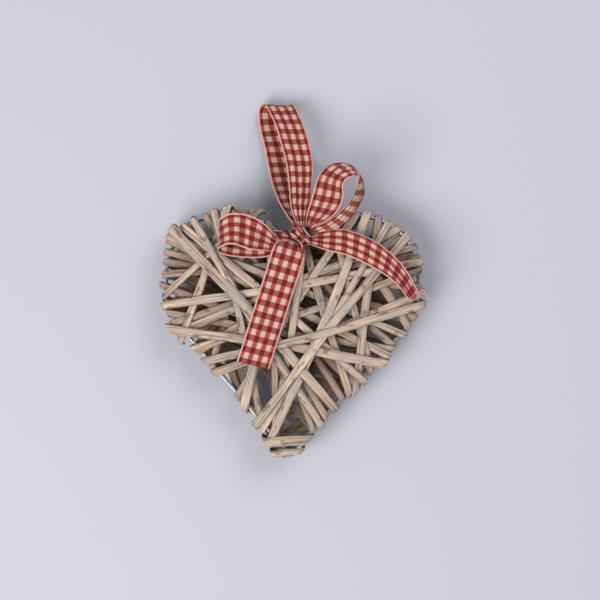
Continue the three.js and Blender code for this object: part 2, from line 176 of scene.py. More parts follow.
class Socket:
    """A shader socket whose arithmetic adds Math nodes, so that shader maths reads as formulas."""

    def __init__(self, tree, out):
        self.tree = tree
        self.out = out

    def math(self, operation, *values):
        return node(self.tree, "ShaderNodeMath", {"operation": operation}, list(enumerate(values)))

    def __add__(self, other):
        return self.math("ADD", self, other)

    def __sub__(self, other):
        return self.math("SUBTRACT", self, other)

    def __rsub__(self, other):
        return self.math("SUBTRACT", other, self)

    def __mul__(self, other):
        return self.math("MULTIPLY", self, other)

    __radd__ = __add__
    __rmul__ = __mul__

    def above(self, edge, soft):
        """Rises from 0 to 1 as the value passes edge, over a width of soft."""
        return ((self - edge) * (1 / soft) + 0.5).clamped()

    def clamped(self):
        return self.math("MINIMUM", self.math("MAXIMUM", self, 0.0), 1.0)


def node(tree, kind, settings, inputs, out=0):
    """Adds a node: its settings first, then the values or links of its sockets."""
    made = tree.nodes.new(kind)
    for name, value in settings.items():
        setattr(made, name, value)
    for key, value in inputs:
        if isinstance(value, Socket):
            tree.links.new(value.out, made.inputs[key])
        else:
            made.inputs[key].default_value = value
    return Socket(tree, made.outputs[out])


def mix(tree, share, first, second):
    """A colour between two colours."""
    sockets = [(0, share), (6, first), (7, second)]
    return node(tree, "ShaderNodeMix", {"data_type": "RGBA"}, sockets, out=2)


def feed(tree, value, shader, name):
    tree.links.new(value.out, shader.inputs[name])


def bump(tree, shader, height, strength, distance):
    sockets = [("Strength", strength), ("Distance", distance), ("Height", height)]
    feed(tree, node(tree, "ShaderNodeBump", {}, sockets), shader, "Normal")


def lengths_along(points):
    """Distance travelled along a line of points, from 0 at the first."""
    return np.concatenate([[0], np.cumsum(np.linalg.norm(np.diff(points, axis=0), axis=1))])


def at_stops(points, travelled, stops):
    """The points of a line that lie at given distances along it."""
    return np.stack([np.interp(stops, travelled, column) for column in points.T], axis=1)


def evenly(points, count):
    """The same line, as count points spaced evenly by length."""
    travelled = lengths_along(points)
    return at_stops(points, travelled, np.linspace(0, travelled[-1], count))


def half_heart():
    """Half the rim from tip to cleft, as points: a straight side, an arc, a short rise, the outer
    quarter of the lobe and a flatter arc, each sampled evenly and then spaced evenly by length."""
    shoulder_x = LOBE_CENTRE + LOBE_RADIUS - SHOULDER_RADIUS
    tangent_x = shoulder_x + SHOULDER_RADIUS * math.sin(SIDE_ANGLE)
    tangent_y = tangent_x * math.tan(SIDE_ANGLE)
    shoulder_y = tangent_y + SHOULDER_RADIUS * math.cos(SIDE_ANGLE)
    lobe_y = shoulder_y + SHOULDER_RISE
    inner_radius = (LOBE_CENTRE ** 2 + CLEFT_DEPTH ** 2) / (2 * CLEFT_DEPTH)
    inner_angle = math.asin(LOBE_CENTRE / inner_radius)
    inner_y = lobe_y + LOBE_RADIUS - inner_radius
    share = np.linspace(0, 1, ARC_SAMPLES)[:, None]

    def arc(x, y, radius, start, end):
        angle = start + (end - start) * share
        return np.array([x, y]) + radius * np.hstack([np.cos(angle), np.sin(angle)])

    shoulder_top = np.array([shoulder_x + SHOULDER_RADIUS, shoulder_y])
    points = np.vstack([
        share * np.array([tangent_x, tangent_y]),
        arc(shoulder_x, shoulder_y, SHOULDER_RADIUS, SIDE_ANGLE - math.pi / 2, 0),
        shoulder_top + share * np.array([0, SHOULDER_RISE]),
        arc(LOBE_CENTRE, lobe_y, LOBE_RADIUS, 0, math.pi / 2),
        arc(LOBE_CENTRE, inner_y, inner_radius, math.pi / 2, math.pi / 2 + inner_angle),
    ])
    return evenly(points, RIM_SAMPLES)


half_rim = half_heart()


def rim_at(marks):
    """Points on the rim with the directions along it and outwards. The left half is the right
    half mirrored, counted backwards."""
    marks = np.atleast_1d(np.asarray(marks, float)) % RIM_MARKS
    left = marks > RIM_MARKS / 2
    share = 2 * np.where(left, RIM_MARKS - marks, marks) / RIM_MARKS * (RIM_SAMPLES - 1)
    index = np.arange(RIM_SAMPLES)
    point = at_stops(half_rim, index, share)
    along = at_stops(np.gradient(half_rim, axis=0), index, share)
    along /= np.linalg.norm(along, axis=1, keepdims=True)
    point[left, 0] *= -1
    along[left, 1] *= -1
    out = np.stack([along[:, 1], -along[:, 0]], axis=1)
    return point, along, out


def grid_faces(rows, columns, wrap_rows=False, wrap_columns=False):
    """Quads of a grid of points numbered row by row, closed round either way if asked."""
    index = np.arange(rows * columns).reshape(rows, columns)
    if wrap_rows:
        index = np.vstack([index, index[:1]])
    if wrap_columns:
        index = np.hstack([index, index[:, :1]])
    corners = [index[:-1, :-1], index[:-1, 1:], index[1:, 1:], index[1:, :-1]]
    return np.stack(corners, axis=-1).reshape(-1, 4)


def add_mesh(name, points, faces, material, flat_uv=None, shade_and_tone=None, caps=()):
    """A mesh from arrays, placed from the tip of the wire, with its flat map and its share of painted
    shade and tone.
    """
    mesh = bpy.data.meshes.new(name)
    all_faces = [list(map(int, face)) for face in [*faces, *caps]]
    mesh.from_pydata((points.reshape(-1, 3) + tip).tolist(), [], all_faces)
    mesh.update()
    corners = np.empty(len(mesh.loops), int)
    mesh.loops.foreach_get("vertex_index", corners)
    if flat_uv is not None:
        layer = mesh.uv_layers.new(name="flat")
        layer.data.foreach_set("uv", flat_uv.reshape(-1, 2)[corners].ravel())
    if shade_and_tone is not None:
        field = mesh.attributes.new("shade_and_tone", "FLOAT", "POINT")
        field.data.foreach_set("value", shade_and_tone.ravel())
    mesh.polygons.foreach_set("use_smooth", np.ones(len(mesh.polygons), bool))
    mesh.materials.append(material)
    made = bpy.data.objects.new(name, mesh)
    bpy.context.collection.objects.link(made)
    return made


def outward(piece):
    """Turns every face outwards."""
    bpy.context.view_layer.objects.active = piece
    bpy.ops.object.select_all(action="DESELECT")
    piece.select_set(True)
    bpy.ops.object.mode_set(mode="EDIT")
    bpy.ops.mesh.select_all(action="SELECT")
    bpy.ops.mesh.normals_make_consistent(inside=False)
    bpy.ops.object.mode_set(mode="OBJECT")


def wire_material():
    """Dull zinc: grey metal, cloudy, with slightly rougher patches."""
    made, tree, shader = new_material("galvanised_wire", ZINC_ROUGHNESS)
    place = node(tree, "ShaderNodeTexCoord", {}, [], out="Object")
    sockets = [("Vector", place), ("Scale", CLOUD_SCALE), ("Detail", 3.0)]
    cloud = node(tree, "ShaderNodeTexNoise", {}, sockets)
    dark_zinc = colour(0.22, 0.225, 0.23)
    pale_zinc = colour(0.62, 0.63, 0.64)
    feed(tree, mix(tree, cloud, dark_zinc, pale_zinc), shader, "Base Color")
    feed(tree, cloud * 0.35 + 0.22, shader, "Roughness")
    shader.inputs["Metallic"].default_value = 1.0
    bump(tree, shader, cloud, 0.25, 0.0002)
    return made


def add_wire_frame():
    """Each heart is a circle carried round the rim: rim point, plus the outward direction times
    cosine, plus up times sine. Each post is a short straight tube of the same kind."""
    marks = np.arange(0, RIM_MARKS, WIRE_STEP)
    point, _, out = rim_at(marks)
    angle = np.arange(WIRE_SIDES) * 2 * math.pi / WIRE_SIDES
    points = []
    faces = []
    for level in (WIRE_LEVEL, -WIRE_LEVEL):
        plan = point[:, None, :] + WIRE_RADIUS * np.cos(angle)[None, :, None] * out[:, None, :]
        height = np.broadcast_to(level + WIRE_RADIUS * np.sin(angle), plan.shape[:2])
        faces.append(grid_faces(len(marks), WIRE_SIDES, True, True) + sum(len(p) for p in points))
        points.append(np.concatenate([plan, height[..., None]], axis=2).reshape(-1, 3))
    for spot in rim_at(POST_MARKS)[0]:
        ring = spot + POST_RADIUS * np.stack([np.cos(angle), np.sin(angle)], axis=1)
        ends = [np.column_stack([ring, np.full(WIRE_SIDES, z)]) for z in (-WIRE_LEVEL, WIRE_LEVEL)]
        faces.append(grid_faces(2, WIRE_SIDES, False, True) + sum(len(p) for p in points))
        points.append(np.vstack(ends))
    piece = add_mesh("wire", np.vstack(points), np.vstack(faces), wire_material())
    outward(piece)
    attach(piece, "root")
    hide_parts("wire_frame")


add_wire_frame()


# Canes
# Split cane, weathered grey, wound round both wires and across the two faces of the heart. Each
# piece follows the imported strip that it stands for, with a rounded skin side and wandering edges.
CANE_THICK = 1.3 * MM
CANE_BODY = 1.75 * MM
CANE_STEP = 1.6 * MM
CANE_SECTION = 14
EDGE_SHARE = 0.93
SKIN_RISE = 0.6
UNDER_RISE = 0.4
CANE_ROUGHNESS = 0.82
WIRE_END = WIRE_RADIUS - 0.4 * MM
LEAST_SQUARE = 0.62
LAST_REST = 1.5

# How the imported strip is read: which vertices count as a face, and how near is near
FACE_CLEAR = 0.2 * MM
WIRE_CLEAR = 0.01 * MM
SAME_PLACE = 0.02 * MM
END_REACH = 3 * MM
WRAP_NEAR = 12 * MM

# How a cane is laid: stops up and down the wraps, the length of a turn, and its slight bow
LEAST_STOPS = 8
FOOT_STOPS = 8
DROP_STOPS = 12
FRONT_STOP = 20
TURN_LENGTH = 6 * MM
LEVEL_ROUNDS = 12
LEVEL_PULL = 0.5
LINE_ROUNDS = 2
LINE_PULL = 0.35
CANE_BOW = 0.012
BOW_PACE = 3.1

# How hand-split cane wanders along its length, and the painted shade that darkens it towards the middle
# of the heart, with its pith and random tone
SPLIT_SEED = 7
WAVE_PACE = np.array([18, 43, 97, 210])
WAVE_SHARE = np.array([1, 0.7, 0.4, 0.25])
WIDTH_WANDER = 0.035
EDGE_WANDER = 0.02
SKIN_WANDER = 0.04
RIDGE_HEIGHT = 0.05
# Painted shade: none this far or farther from the middle of the heart, full this range nearer, as shade
# falls between the canes
PAINTED_SHADE_START = 12.5 * MM
PAINTED_SHADE_RANGE = 8 * MM
PAINTED_SHADE_STRENGTH = 0.7
PITH_TONE = 0.35
PITH_LEVEL = -0.25
TONE_SPREAD = (-0.12, 0.16)
FIBRE_OFFSET = 1.0

# Each cane, in the order of winding: the two pixels of the photograph that its front runs
# between, its width in millimetres, and how many marks each end is moved along the
# rim. Most moves clear a neighbour or bring a cane beside it, and a few of 0.1 only keep a mark
# of an earlier list. Marks go round the rim from the tip, up the right side, 50 at the cleft.
PHOTO_PIXELS = 600
MARK_STEP = 0.1
STILL = (0, 0)
CANES = [
    ((188, 223), (356, 385), 6.6, STILL), ((163, 262), (421, 288), 5.8, STILL),
    ((235, 210), (313, 431), 5.4, STILL), ((163, 250), (412, 316), 6, STILL),
    ((222, 212), (344, 400), 5.6, STILL), ((240, 214), (392, 345), 6, STILL),
    ((340, 220), (405, 325), 6.4, STILL), ((163, 275), (418, 256), 5.6, (0, -0.1)),
    ((205, 214), (328, 419), 5.4, STILL), ((252, 214), (206, 372), 5, STILL),
    ((372, 366), (162, 286), 5.6, (-0.1, -0.1)), ((388, 345), (168, 313), 5.8, STILL),
    ((399, 228), (195, 354), 6.6, STILL), ((388, 356), (168, 240), 6, STILL),
    ((414, 247), (174, 322), 5.4, STILL), ((275, 218), (285, 440), 5.4, (0.3, -0.4)),
    ((403, 334), (171, 238), 5.6, STILL), ((419, 270), (191, 350), 5.8, (-0.1, 0.1)),
    ((303, 240), (349, 399), 6, (-0.4, 0.4)), ((183, 335), (408, 237), 6, (-0.6, 0)),
    ((186, 337), (229, 207), 6.2, STILL), ((377, 365), (335, 228), 5.6, (-1.2, 0)),
    ((262, 430), (214, 210), 5.4, (-0.2, 0)), ((418, 289), (210, 376), 6, (-0.5, 0)),
    ((258, 222), (163, 297), 5.2, STILL), ((351, 388), (379, 214), 6.2, STILL),
    ((350, 398), (183, 226), 6, (2.8, 0)), ((233, 401), (356, 213), 6.6, (0, -0.1)),
    ((163, 306), (421, 262), 6.4, STILL), ((298, 245), (299, 440), 5.8, (-2.1, -4.5)),
    ((199, 216), (317, 430), 5.8, (0.8, 0.8)), ((395, 222), (263, 431), 5.4, (0.6, -0.2)),
    ((389, 353), (172, 327), 7, (-1.3, 0)), ((372, 213), (272, 440), 7, (0.4, 0)),
    ((339, 410), (172, 233), 7.6, (-0.1, -0.4)), ((252, 425), (405, 237), 6.6, (0.2, 0)),
    ((203, 370), (417, 303), 6.3, (-0.7, 0)), ((262, 222), (248, 420), 7, (-2.8, -1.5)),
    ((313, 438), (266, 437), 7.6, (-0.4, 0.3)), ((303, 449), (274, 449), 4, (-1, 1.2)),
    ((308, 443), (268, 444), 5, (-1.1, 1.1)),
]
rim_tenths = rim_at(np.arange(RIM_MARKS / MARK_STEP) * MARK_STEP)[0]


def cane_material():
    """Dry cane: long fibres as noise drawn out along the strip, darker cracks, greyed patches,
    and, by a per-vertex share, a darker and browner copy: painted shade on the parts that lie deeper
    between the canes, and the pith side's and each cane's own tone."""
    made, tree, shader = new_material("split_cane", CANE_ROUGHNESS)
    flat = node(tree, "ShaderNodeUVMap", {"uv_map": "flat"}, [])
    shade_and_tone = node(tree, "ShaderNodeAttribute", {"attribute_name": "shade_and_tone"}, [], out="Fac")

    def streaks(across, along, detail, seed):
        stretch = [(0, flat), (1, (across, along, 1.0)), (2, (seed, seed, seed))]
        scaled = node(tree, "ShaderNodeVectorMath", {"operation": "MULTIPLY_ADD"}, stretch)
        sockets = [("Vector", scaled), ("Scale", 1.0), ("Detail", detail)]
        return node(tree, "ShaderNodeTexNoise", {}, sockets)

    fibre = streaks(1900.0, 42.0, 4.0, 0.0)
    broad = streaks(520.0, 16.0, 3.0, 5.0)
    cloud = streaks(90.0, 34.0, 3.0, 9.0)
    crack = streaks(1150.0, 22.0, 2.0, 13.0)
    whole = streaks(3.0, 2.0, 0.0, 21.0)
    spots = streaks(230.0, 95.0, 1.0, 31.0)
    silver = colour(0.60, 0.475, 0.385)
    straw = colour(0.95, 0.76, 0.58)
    tan = colour(0.47, 0.345, 0.26)
    weathered = colour(0.47, 0.41, 0.37)
    fibre_shade = colour(0.28, 0.185, 0.135)
    crack_shade = colour(0.12, 0.075, 0.055)
    spot_shade = colour(0.17, 0.11, 0.08)
    # Painted shade: the colour that the deeper parts are multiplied by
    painted_inner_shade = colour(0.34, 0.235, 0.19)
    pale = mix(tree, whole.above(0.5, 0.22), silver, straw)
    light = mix(tree, broad.above(0.5, 0.3), tan, pale)
    grey = mix(tree, cloud.above(0.52, 0.16) * 0.85, light, weathered)
    fine = mix(tree, (1 - fibre.above(0.47, 0.25)) * 0.55, grey, fibre_shade)
    aged = mix(tree, crack.above(0.61, 0.06) * 0.65, fine, crack_shade)
    spotted = mix(tree, spots.above(0.64, 0.07) * 0.7, aged, spot_shade)
    shade = {"data_type": "RGBA", "blend_type": "MULTIPLY"}
    # Painted shade: a darker, browner copy, mixed in by the per-vertex share of shade and tone
    painted_shade_copy = node(tree, "ShaderNodeMix", shade, [(0, 1.0), (6, spotted), (7, painted_inner_shade)], out=2)
    feed(tree, mix(tree, shade_and_tone, spotted, painted_shade_copy), shader, "Base Color")
    feed(tree, fibre * 0.25 + 0.66, shader, "Roughness")
    relief = fibre * 0.5 + broad * 0.8 - crack.above(0.6, 0.1) * 0.8
    bump(tree, shader, relief, 0.7, 0.0005)
    shader.inputs["Specular IOR Level"].default_value = 0.3
    return made


def strip_vertices(name):
    """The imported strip's vertices, from the tip of the wire."""
    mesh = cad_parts[name].data
    vertices = np.empty(3 * len(mesh.vertices))
    mesh.vertices.foreach_get("co", vertices)
    return vertices.reshape(-1, 3) - tip


def from_photo(x, y, z=0.0):
    """The place, from the tip of the wire, that a pixel of the photograph shows at a height in
    millimetres: the pixel's distance from the middle, scaled down with height, and turned."""
    scale = VIEW_WIDTH / PHOTO_PIXELS * (1 - z * MM / VIEW_HEIGHT)
    right, up = (x - PHOTO_PIXELS / 2) * scale, (PHOTO_PIXELS / 2 - y) * scale
    turned = (right * math.cos(VIEW_ROLL) - up * math.sin(VIEW_ROLL),
              right * math.sin(VIEW_ROLL) + up * math.cos(VIEW_ROLL))
    return VIEW_OFFSET + np.array([*turned, z * MM])


def cane_ends(number):
    """The rim marks of a cane's front, each the nearest tenth of a mark to its pixel, moved."""
    pixels = CANES[number][:2]
    places = [from_photo(*pixel)[:2] for pixel in pixels]
    nearest = [np.linalg.norm(rim_tenths - place, axis=1).argmin() * MARK_STEP for place in places]
    return [mark + moved for mark, moved in zip(nearest, CANES[number][3])]


def pass_heights(vertices, start, end, front):
    """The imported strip's outer height along a pass: its vertices on that face, the outer one
    wherever two share a place, read against their distance along the pass."""
    length = np.linalg.norm(end - start)
    height = vertices[:, 2] * (1 if front else -1)
    chosen = (height > FACE_CLEAR) & (np.abs(height - WIRE_LEVEL) > WIRE_CLEAR)
    plan = np.round(vertices[chosen, :2] / SAME_PLACE).astype(int)
    _, group = np.unique(plan, axis=0, return_inverse=True)
    group = group.ravel()
    top = np.full(group.max() + 1, -1.0)
    np.maximum.at(top, group, height[chosen])
    far = np.zeros(group.max() + 1)
    far[group] = (vertices[chosen, :2] - start) @ ((end - start) / length)
    order = np.argsort(far)
    far, top = far[order], top[order]
    inside = (far > END_REACH) & (far < length - END_REACH)
    first = top[far <= END_REACH].max()
    last = top[far >= length - END_REACH].max()
    return np.array([0, *far[inside], length]), np.array([first, *top[inside], last])


def smoothed(values, rounds, pull):
    """Each value drawn towards the mean of its neighbours, ends kept, a few times over."""
    values = values.copy()
    for _ in range(rounds):
        values[1:-1] += pull * ((values[:-2] + values[2:]) / 2 - values[1:-1])
    return values


def wrap_reach(vertices, rim_point, out):
    """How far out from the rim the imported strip's outer face stands at a wrap."""
    near = np.linalg.norm(vertices[:, :2] - rim_point, axis=1) < WRAP_NEAR
    return ((vertices[near, :2] - rim_point) @ out).max()


def cane_corners(number, vertices):
    """Where a cane turns: two wraps outside the rim, and its rest on the wire where the next cane
    starts, with the directions along the rim and outwards at each."""
    start_mark, end_mark = cane_ends(number)
    is_last = number + 1 == len(CANES)
    rest_mark = start_mark + LAST_REST if is_last else cane_ends(number + 1)[0]
    point, along, out = rim_at([start_mark, end_mark, rest_mark])
    reach = [wrap_reach(vertices, point[i], out[i]) - CANE_THICK / 2 for i in (0, 1)]
    return point + out * np.array([*reach, WIRE_END])[:, None], along, out


def rim_side(along, out, direction, like):
    """Half the cane's edge where it turns over the rim: along the rim, longer as it slants."""
    side = along / max(LEAST_SQUARE, abs(direction @ out))
    return side if side @ like > 0 else -side


def cane_pass(number, vertices, turns, first, like):
    """One pass across a face, over the front from the first corner or over the back from the
    second: its middle line and its side. The side turns to the rim's direction at both ends, and
    the line bows sideways by sine squared of the share travelled."""
    corners, along, out = turns
    start, end = corners[first:first + 2]
    length = np.linalg.norm(end - start)
    direction = (end - start) / length
    middle = np.array([-direction[1], direction[0]])
    if like is not None and middle @ like < 0:
        middle = -middle
    ends = [rim_side(along[i], out[i], direction, middle) for i in (first, first + 1)]
    if like is not None and ends[0] @ like < 0:
        ends[0] = -ends[0]
    front = first == 0
    far, top = pass_heights(vertices, start, end, front)
    travel = np.linspace(0, length, max(LEAST_STOPS, round(length / CANE_STEP)))
    level = smoothed(np.interp(travel, far, top - CANE_THICK / 2), LEVEL_ROUNDS, LEVEL_PULL)
    turn = min(TURN_LENGTH, length / 4)
    near = np.clip(1 - travel / turn, 0, 1)[:, None]
    beyond = np.clip(1 - (length - travel) / turn, 0, 1)[:, None]
    side = middle * (1 - near - beyond) + ends[0] * near + ends[1] * beyond
    bow = CANE_BOW * math.sin(BOW_PACE * number + first) * length
    bend = bow * np.sin(math.pi * travel / length) ** 2
    plan = start + travel[:, None] * direction + bend[:, None] * middle
    return np.column_stack([plan, level if front else -level]), side


def upright(corner, heights):
    """A line straight up or down at a corner."""
    return np.column_stack([np.repeat(corner[None], len(heights), axis=0), heights])


def cane_path(number, vertices):
    """The middle line of a cane with its side and skin directions: up the outside of the rim, over
    the front, down the outside, and over the back, with rounded turns."""
    turns = cane_corners(number, vertices)
    front, front_side = cane_pass(number, vertices, turns, 0, None)
    back, back_side = cane_pass(number, vertices, turns, 1, front_side[-1])
    foot = upright(turns[0][0], np.linspace(-WIRE_LEVEL, front[0, 2], FOOT_STOPS, endpoint=False))
    drop = upright(turns[0][1], np.linspace(front[-1, 2], back[0, 2], DROP_STOPS + 2)[1:-1])
    line = np.vstack([foot, front, drop, back])
    foot_side = np.repeat(front_side[:1], FOOT_STOPS, axis=0)
    drop_side = np.repeat(front_side[-1:], DROP_STOPS, axis=0)
    side = np.vstack([foot_side, front_side, drop_side, back_side])
    travelled = lengths_along(line)
    stops = np.linspace(0, travelled[-1], round(travelled[-1] / CANE_STEP))
    line = smoothed(at_stops(line, travelled, stops), LINE_ROUNDS, LINE_PULL)
    side = np.column_stack([at_stops(side, travelled, stops), np.zeros(len(stops))])
    run = np.gradient(line, axis=0)
    run /= np.linalg.norm(run, axis=1, keepdims=True)
    skin = np.cross(side, run)
    skin /= np.linalg.norm(skin, axis=1, keepdims=True)
    if skin[FRONT_STOP, 2] < 0:
        skin = -skin
    return line, side * CANES[number][2] * MM / 2, skin, stops


def cane_section():
    """Across the strip from -1 to 1 and out to the skin: a flat underside with small rounded
    edges, and a low crown on top, the square root of 1 less the fourth power of the place."""
    half = CANE_SECTION // 2
    across = np.cos(np.linspace(0, math.pi, half))
    crown = np.sqrt(np.maximum(0, 1 - across ** 4))
    belly = np.sqrt(np.maximum(0, 1 - across ** 8))
    top = np.column_stack([across, SKIN_RISE * crown])
    under = np.column_stack([-across * EDGE_SHARE, -UNDER_RISE * belly])
    return np.vstack([top, under]) + np.array([0, CANE_THICK / CANE_BODY / 2 - SKIN_RISE])


def add_cane(number, section, rng, material):
    """A cane is its section carried along its path: middle, plus side times across, plus skin
    times height. Width, edges and ridges wander along it, as in cane that was split by hand, and
    nothing goes below the floor."""
    name = f"cane_{number + 1:02d}"
    line, side, skin, stops = cane_path(number, strip_vertices(name))
    waves = rng.uniform(0, 2 * math.pi, (3, len(WAVE_PACE)))
    width_wave, edge_wave, skin_wave = [
        np.sin(WAVE_PACE[:, None] * stops + wave[:, None]).T @ WAVE_SHARE for wave in waves
    ]
    ridge = RIDGE_HEIGHT * rng.standard_normal(len(section))
    across, height = section.T
    wide = across * (1 + WIDTH_WANDER * width_wave[:, None]) + EDGE_WANDER * edge_wave[:, None]
    tall = height * (1 + SKIN_WANDER * skin_wave[:, None]) + ridge
    points = line[:, None, :] + wide[..., None] * side[:, None, :]
    points = points + tall[..., None] * skin[:, None, :] * CANE_BODY
    points[..., 2] = np.maximum(points[..., 2], cad_box[0][2] - tip[2])
    half_width = np.linalg.norm(side, axis=1)[:, None]
    flat_u = across * half_width + number * FIBRE_OFFSET
    flat_v = np.repeat(stops[:, None], len(section), axis=1)
    # Painted shade: the nearer a point lies to the middle of the heart, the darker and browner it is
    # painted, where shade falls in the gaps; the pith side and a random share per cane are the cane's
    # own tone
    shade_depth = np.clip((PAINTED_SHADE_START - np.abs(points[..., 2])) / PAINTED_SHADE_RANGE, 0, 1)
    shade_and_tone = PAINTED_SHADE_STRENGTH * shade_depth + PITH_TONE * (height < PITH_LEVEL) + rng.uniform(*TONE_SPREAD)
    start_cap = np.arange(len(section))
    caps = [start_cap, start_cap + (len(line) - 1) * len(section)]
    faces = grid_faces(len(line), len(section), False, True)
    flat = np.stack([flat_u, flat_v], axis=2)
    piece = add_mesh(f"split_{name}", points, faces, material, flat, np.clip(shade_and_tone, 0, 1), caps)
    outward(piece)
    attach(piece, "root")
    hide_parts(name)


def add_canes():
    rng = np.random.default_rng(SPLIT_SEED)
    section = cane_section()
    material = cane_material()
    for number in range(len(CANES)):
        add_cane(number, section, rng, material)


add_canes()


# Ribbon
# A woven gingham ribbon 25 mm wide, red and cream, with a paler woven edge. One length makes the
# hanging loop, and one is tied into the bow, whose tails lie over the canes.
RIBBON_WIDTH = 25 * MM
RIBBON_THICK = 0.35 * MM
RIBBON_STEP = 1.0 * MM
RIBBON_COLUMNS = 25
CHECK_ACROSS = 3.57 * MM
CHECK_ALONG = 4.6 * MM
THREAD_PITCH = 0.42 * MM
EDGE_BAND = 1.1 * MM
EDGE_FADE = 0.3 * MM
RIBBON_ROUGHNESS = 0.85

# Pleats where a band is gathered, the ripple of its edges, and the crown across it
EDGE_STEPS = 24
THREAD_STEPS = 6
THREAD_RADIUS = 0.12 * MM
PLEATS = 6
PLEAT_LEAST = 0.2 * MM
PLEAT_MORE = 1.5 * MM
PLEAT_DRIFT = 0.5
DRIFT_PACE = 90
RIPPLE = 0.22 * MM
RIPPLE_PACE = 260
RIPPLE_SLANT = 2.1
LOOP_CROWN = 0.9 * MM
BOW_CROWN = 0.7 * MM

# Each band's two edges, as pixels of the photograph with heights in millimetres above the middle
# of the heart. Heights are guessed, and so are the edges that lie underneath, out of sight. The
# pixels of the hanging loop and of the loose threads are worked back from places that had been
# adjusted against renders.
HANGING_LOOP = (
    [
        (296, 232.5, 23), (293, 224, 24), (287, 216.5, 21), (277, 199, 8), (270, 178, -6),
        (264.5, 150, -15), (260, 131, -17.5), (258, 115.5, -17.5), (259.5, 107, -14), (264, 104, -9),
        (268, 109.5, -5), (275.5, 125.5, 2), (281, 144, 8), (286, 163, 13), (289, 187.5, 20),
        (291, 208, 26), (296, 221.5, 28), (298.5, 231, 27),
    ],
    [
        (302.5, 232.5, 23), (305, 224.5, 24), (307, 217, 21), (309.5, 199.5, 8), (307.5, 179, -6),
        (300.5, 150.5, -15), (294, 129, -17.5), (292, 116.5, -17.5), (292, 108, -15), (293.5, 105, -11),
        (296.5, 109, -6), (304, 126, 1), (309.5, 144.5, 7), (313, 164, 12), (312, 188, 20),
        (309, 208.5, 26), (305.5, 221.5, 28), (304, 231, 27),
    ],
)
BOW_LOOP_RIGHT = (
    [
        (306, 231, 24.5), (305.8, 224, 28), (307, 213, 31), (310, 203, 34), (313.5, 191, 36),
        (317, 179, 37), (321.5, 171.5, 36.5), (329, 165, 34), (337, 162.8, 30), (345, 163.3, 26),
        (353, 167, 21), (360, 175, 17.5), (363.5, 184, 15.5), (363.5, 194, 15), (359.5, 204, 15.5),
        (354, 213, 16.5), (347, 221, 18), (338, 228.5, 19.5), (327, 233, 21), (315, 232.5, 22),
    ],
    [
        (309.5, 230, 25.5), (316, 225.5, 28), (329, 219.5, 31), (339, 209, 33), (343.5, 197, 35),
        (343.2, 188, 36), (345, 181, 36.5), (349.5, 177.2, 37), (353, 175.8, 37), (355.5, 175.3, 37),
        (357.3, 177, 36.5), (357.8, 181, 36), (357, 187, 35), (354, 194, 34), (349, 202, 32.5),
        (343, 209, 31), (336, 216, 29.5), (328, 221.5, 28), (318, 226, 27), (310, 229.5, 26),
    ],
)
BOW_LOOP_LEFT = (
    [
        (296, 240, 22), (289, 241.5, 22.5), (281, 240, 24.5), (274, 234, 28), (266, 225, 32),
        (257, 218.5, 35), (248, 214.8, 35.5), (244.5, 214, 32.4), (237, 213, 35), (228, 214, 33),
        (221.5, 217.5, 30), (218.8, 221, 26.5), (220, 224, 23), (225, 227, 20.5), (234, 228.5, 19.5),
        (245, 229.5, 19), (257, 229.7, 19), (267, 229.8, 19.5), (277, 230.5, 20.5), (286, 233, 22),
        (294, 238, 23),
    ],
    [
        (296, 243, 22), (289, 247, 22.5), (281, 249.5, 23.5), (271, 250.5, 25.5), (260, 250.5, 29),
        (251, 250, 34), (246, 248.8, 35), (242, 247.2, 32.6), (236, 245, 35.5), (230, 244.3, 35),
        (224.5, 245.5, 33), (219.5, 248, 30), (218, 250, 26), (220, 253, 23), (229, 256, 21.5),
        (242, 257.5, 20.5), (255, 258, 20.5), (266, 257, 20.5), (277, 252, 20.5), (287, 247, 21.5),
        (295, 243, 22.5),
    ],
)
TAIL_RIGHT = (
    [
        (305, 235, 24), (313, 233, 24), (322, 231, 23), (332, 229, 21.5), (343, 229, 20.5),
        (354, 232, 20), (366, 236.5, 20.5), (378, 243, 22), (390, 252, 24), (401, 263, 26),
        (410, 275, 27), (416, 287, 27), (419, 293.5, 27),
    ],
    [
        (306, 240, 24), (312, 245, 23.5), (321, 248.5, 22), (331, 251.5, 21), (342, 254, 20),
        (352, 257.5, 19.5), (362, 262, 19), (373, 268, 18.5), (384, 274.5, 17.5), (393, 281, 16.5),
        (401, 289, 15), (408, 298, 13.5), (412.5, 301.5, 13),
    ],
)
TOP_THREAD = [(291, 107.5, -13), (295, 106, -12), (300, 104.5, -12), (304, 101, -13)]
TAIL_THREAD = [(418.5, 292, 26.5), (422.5, 289.5, 26), (425, 293.5, 25), (427.5, 300, 23)]

# The left tail, from its head under the knot to its cut end, with its height along the way
TAIL_HEAD = np.array([-0.6, 161.4]) * MM
TAIL_END = np.array([-28.2, 68]) * MM
TAIL_TUCK = 8 * MM
TAIL_HEIGHTS = [
    (-8, 25), (0, 27), (4, 29), (8, 30.5), (13, 30.5), (18, 29), (24, 26), (32, 23.5), (44, 22.5),
    (60, 22.6), (103, 23),
]
TAIL_ARCH = 12.5 * MM
TAIL_SKEW = -0.01
TAIL_CROWN = 0.9 * MM
TAIL_RIPPLE = 0.35 * MM
RIPPLE_ALONG = 120
RIPPLE_ACROSS = 180
RIPPLE_START = 1
ROLL_SPREAD = 1.6 * MM
EDGE_SHOWS = 0.5 * MM

# The knot, a ring of ribbon: its middle, turn and reach, its length once round, and its folds
KNOT_CENTRE = np.array([5.6, 166.6, 26]) * MM
KNOT_TURN = math.radians(-43)
KNOT_REACH = np.array([8, 5.8, 7.5]) * MM
KNOT_LENGTH = 52 * MM
KNOT_ROWS = 72
KNOT_COLUMNS = 61
KNOT_FOLD = 0.24
FOLD_PACE = 6.4
FOLD_LEAN = 0.9
FOLD_START = 0.4
KNOT_CREASE = 0.06
CREASE_PACE = 13
CREASE_TURNS = 2
KNOT_TAPER = 0.45
KNOT_WAIST = 0.15
KNOT_SWAY = 0.12
SWAY_TURNS = 3
SWAY_LEAN = 2


